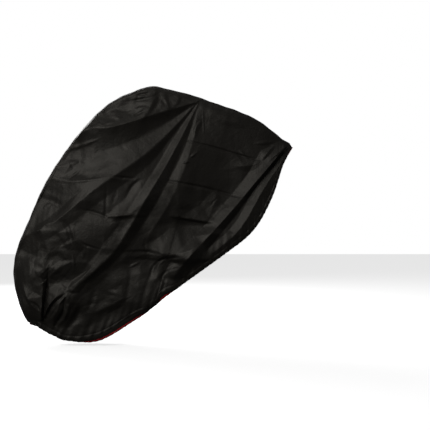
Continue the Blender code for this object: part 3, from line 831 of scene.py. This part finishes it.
# %% Binding tape
TAPE_THICKNESS = 0.0014
loop = np.concatenate((right_tape, left_tape[::-1], right_tape[:1]))
loop_steps = np.linalg.norm(np.diff(loop.mean(axis=1), axis=0), axis=1)
loop_length = np.concatenate(([0], np.cumsum(loop_steps)))
across_tape = np.array((0, TAPE_WIDTH))
loop_flat = np.stack(np.broadcast_arrays(loop_length[:, None], across_tape[None, :]), axis=-1)
tape = grid_sheet("binding_tape", loop, {"flat": loop_flat}, True)
solid = tape.modifiers.new("thickness", "SOLIDIFY")
solid.thickness = TAPE_THICKNESS
solid.offset = 0
print("tape loop of", round(float(loop_length[-1]), 2), "m")

# %% [markdown]
# ## Helpers for the materials
# A material is a chain of small nodes. `combine` adds one math node to the chain, and `new_group`
# starts a group, so each effect is made once and used wherever it is needed.

# %% Node helpers
def new_group(name, inputs, outputs):
    """A node group with the named sockets."""
    group = bpy.data.node_groups.new(name, "ShaderNodeTree")
    for label, kind in inputs.items():
        group.interface.new_socket(label, in_out="INPUT", socket_type="NodeSocket" + kind)
    for label, kind in outputs.items():
        group.interface.new_socket(label, in_out="OUTPUT", socket_type="NodeSocket" + kind)
    return group, group.nodes.new("NodeGroupInput").outputs, group.nodes.new("NodeGroupOutput").inputs


def feed(tree, socket, value):
    """Puts a number, a colour or another node's output into a socket."""
    if isinstance(value, bpy.types.NodeSocket):
        tree.links.new(value, socket)
    else:
        socket.default_value = value


def combine(tree, operation, *values):
    node = tree.nodes.new("ShaderNodeMath")
    node.operation = operation
    for socket, value in zip(node.inputs, values):
        feed(tree, socket, value)
    return node.outputs[0]


def texture(tree, kind, result, settings=(), **sockets):
    """A texture node with some of its sockets fed; returns one output."""
    node = tree.nodes.new(kind)
    for setting, choice in settings:
        setattr(node, setting, choice)
    for label, value in sockets.items():
        feed(tree, node.inputs[label.replace("_", " ")], value)
    return node.outputs[result]


def use_group(tree, group, **sockets):
    node = tree.nodes.new("ShaderNodeGroup")
    node.node_tree = group
    for label, value in sockets.items():
        feed(tree, node.inputs[label.replace("_", " ")], value)
    return node.outputs


print("math, textures and groups can be joined")

# %% [markdown]
# ## Weave, crinkles and stitches
# The maps of the cloth are in metres, so a pitch of 0.0006 is a thread every 0.6 mm. The weave
# has a bump where one thread passes over another. Crinkles are small facets with sharp edges,
# as in paper that was crumpled: two sets of cells, one raised and one sunk. A stitch is a short
# thread in a row that lies at a fixed distance from an edge.

# %% Shared effects
def split(tree, vector):
    node = tree.nodes.new("ShaderNodeSeparateXYZ")
    feed(tree, node.inputs[0], vector)
    return node.outputs["X"], node.outputs["Y"]


def make_weave():
    group, given, made = new_group("plain weave", {"Map": "Vector", "Pitch": "Float"},
                                   {"Height": "Float"})
    turn = combine(group, "DIVIDE", 2 * np.pi, given["Pitch"])
    waves = [combine(group, "SINE", combine(group, "MULTIPLY", way, turn))
             for way in split(group, given["Map"])]
    both = combine(group, "MULTIPLY", *waves)
    group.links.new(combine(group, "MULTIPLY_ADD", both, 0.5, 0.5), made["Height"])
    return group


def make_crinkles():
    group, given, made = new_group("crinkles", {"Map": "Vector", "Cells per metre": "Float"},
                                   {"Height": "Float", "Patches": "Float"})
    bend = texture(group, "ShaderNodeTexNoise", "Color", Vector=given["Map"], Scale=38.0, Detail=3.0)
    shift = group.nodes.new("ShaderNodeVectorMath")
    shift.operation = "MULTIPLY_ADD"
    feed(group, shift.inputs[0], bend)
    shift.inputs[1].default_value = (0.02, 0.02, 0.02)
    feed(group, shift.inputs[2], given["Map"])
    edges = (("voronoi_dimensions", "2D"), ("feature", "DISTANCE_TO_EDGE"))
    raised = texture(group, "ShaderNodeTexVoronoi", "Distance", edges, Vector=shift.outputs[0],
                     Scale=given["Cells per metre"])
    closer = combine(group, "MULTIPLY", given["Cells per metre"], 1.7)
    sunk = texture(group, "ShaderNodeTexVoronoi", "Distance", edges, Vector=shift.outputs[0],
                   Scale=closer)
    patches = texture(group, "ShaderNodeTexNoise", "Fac", Vector=given["Map"], Scale=9.0, Detail=4.0)
    height = combine(group, "MULTIPLY_ADD", sunk, -0.6, raised)
    group.links.new(combine(group, "MULTIPLY", height, patches), made["Height"])
    group.links.new(patches, made["Patches"])
    return group


def make_stitches():
    group, given, made = new_group("stitches", {"Map": "Vector", "Row": "Float", "Pitch": "Float"},
                                   {"Thread": "Float"})
    along, across = split(group, given["Map"])
    off_row = combine(group, "ABSOLUTE", combine(group, "SUBTRACT", across, given["Row"]))
    on_row = combine(group, "SUBTRACT", 1.0, combine(group, "DIVIDE", off_row, 0.0006))
    place = combine(group, "FRACT", combine(group, "DIVIDE", along, given["Pitch"]))
    on_stitch = combine(group, "LESS_THAN", place, 0.72)
    thread = combine(group, "MULTIPLY", combine(group, "MAXIMUM", on_row, 0.0), on_stitch)
    group.links.new(thread, made["Thread"])
    return group


weave, crinkles, stitches = make_weave(), make_crinkles(), make_stitches()
print("effects:", weave.name, "|", crinkles.name, "|", stitches.name)

# %% [markdown]
# ## Nylon and tape
# Nylon taffeta is black with a soft sheen. The sheen is a little warm, and rougher where the
# cloth has been rubbed. The red tape is matt, has a diagonal rib, and a row of stitches holds it.

# %% Nylon and tape
NYLON_SHEEN = (1.0, 0.95, 0.86)
SMALL_CRINKLE = 0.0011        # how deep the bump of each set of crinkles is
TINY_CRINKLE = 0.0003
THREAD_PITCH = 0.0006
THREAD_BUMP = 0.00003
STITCH_BUMP = 0.0003
SEAM_ROWS = (("ridge", 0.0035, 0.0028), ("ridge", 0.0085, 0.0028), ("hem", 0.0162, 0.0034))
TAPE_ROW = 0.0035             # how far the tape's stitches lie from its inner edge
TAPE_STITCH = 0.0034
RIB_PITCH = 0.0013
RIB_BUMP = 0.00007


def start_material(name, shine, sheen):
    material = bpy.data.materials.new(name)
    material.use_nodes = True
    surface = material.node_tree.nodes["Principled BSDF"]
    surface.inputs["Specular IOR Level"].default_value = shine
    surface.inputs["Specular Tint"].default_value = (*sheen, 1)
    return material, material.node_tree, surface


def cloth_map(tree, name):
    node = tree.nodes.new("ShaderNodeUVMap")
    node.uv_map = name
    return node.outputs["UV"]


def bump(tree, height, depth, below=None):
    node = tree.nodes.new("ShaderNodeBump")
    node.inputs["Strength"].default_value = 1
    node.inputs["Distance"].default_value = depth
    feed(tree, node.inputs["Height"], height)
    if below:
        tree.links.new(below, node.inputs["Normal"])
    return node.outputs["Normal"]


def blend(tree, share, dark, light):
    node = tree.nodes.new("ShaderNodeMix")
    node.data_type = "RGBA"
    feed(tree, node.inputs[0], share)
    node.inputs[6].default_value = (*dark, 1)
    node.inputs[7].default_value = (*light, 1)
    return node.outputs[2]


def make_nylon():
    material, tree, surface = start_material("black nylon", 0.5, NYLON_SHEEN)
    flat = cloth_map(tree, "flat")
    small = use_group(tree, crinkles, Map=flat, Cells_per_metre=46.0)
    tiny = use_group(tree, crinkles, Map=flat, Cells_per_metre=150.0)
    threads = use_group(tree, weave, Map=flat, Pitch=THREAD_PITCH)["Height"]
    rows = [use_group(tree, stitches, Map=cloth_map(tree, name), Row=row, Pitch=pitch)["Thread"]
            for name, row, pitch in SEAM_ROWS]
    sewn = combine(tree, "MAXIMUM", combine(tree, "MAXIMUM", rows[0], rows[1]), rows[2])
    normal = bump(tree, small["Height"], SMALL_CRINKLE)
    normal = bump(tree, tiny["Height"], TINY_CRINKLE, normal)
    normal = bump(tree, threads, THREAD_BUMP, normal)
    normal = bump(tree, sewn, STITCH_BUMP, normal)
    tree.links.new(normal, surface.inputs["Normal"])
    rubbed = combine(tree, "MULTIPLY_ADD", small["Patches"], 0.16, 0.41)
    grain = texture(tree, "ShaderNodeTexNoise", "Fac", Vector=flat, Scale=700.0, Detail=2.0)
    tree.links.new(combine(tree, "MULTIPLY_ADD", grain, 0.06, rubbed), surface.inputs["Roughness"])
    tree.links.new(blend(tree, small["Patches"], (0.0090, 0.0080, 0.0066), (0.0140, 0.0122, 0.0100)),
                   surface.inputs["Base Color"])
    return material


def make_tape():
    material, tree, surface = start_material("red tape", 0.3, (1, 0.9, 0.9))
    flat = cloth_map(tree, "flat")
    length, width = split(tree, flat)
    slant = combine(tree, "ADD", length, combine(tree, "MULTIPLY", width, 0.8))
    rib = combine(tree, "SINE", combine(tree, "MULTIPLY", slant, 2 * np.pi / RIB_PITCH))
    thread = use_group(tree, stitches, Map=flat, Row=TAPE_ROW, Pitch=TAPE_STITCH)["Thread"]
    normal = bump(tree, rib, RIB_BUMP)
    normal = bump(tree, thread, STITCH_BUMP, normal)
    tree.links.new(normal, surface.inputs["Normal"])
    worn = texture(tree, "ShaderNodeTexNoise", "Fac", Vector=flat, Scale=60.0, Detail=4.0)
    tree.links.new(combine(tree, "MULTIPLY_ADD", worn, 0.2, 0.5), surface.inputs["Roughness"])
    tree.links.new(blend(tree, worn, (0.36, 0.004, 0.010), (0.50, 0.010, 0.016)),
                   surface.inputs["Base Color"])
    return material


nylon, red = make_nylon(), make_tape()
for piece in (right_cloth, left_cloth):
    piece.data.materials.append(nylon)
tape.data.materials.append(red)
print("nylon of", len(nylon.node_tree.nodes), "nodes, tape of", len(red.node_tree.nodes))

# %% [markdown]
# ## On the frame
# Each piece takes the place of one solid and rides on the same body.

# %% Attach to the frame
for piece, node, finish in ((right_cloth, "right_panel", "nylon"), (left_cloth, "left_panel", "nylon"),
                            (tape, "hem_binding", "binding")):
    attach(piece, "root")
    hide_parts(node)

print("riding on the frame:", right_cloth.name, left_cloth.name, tape.name)
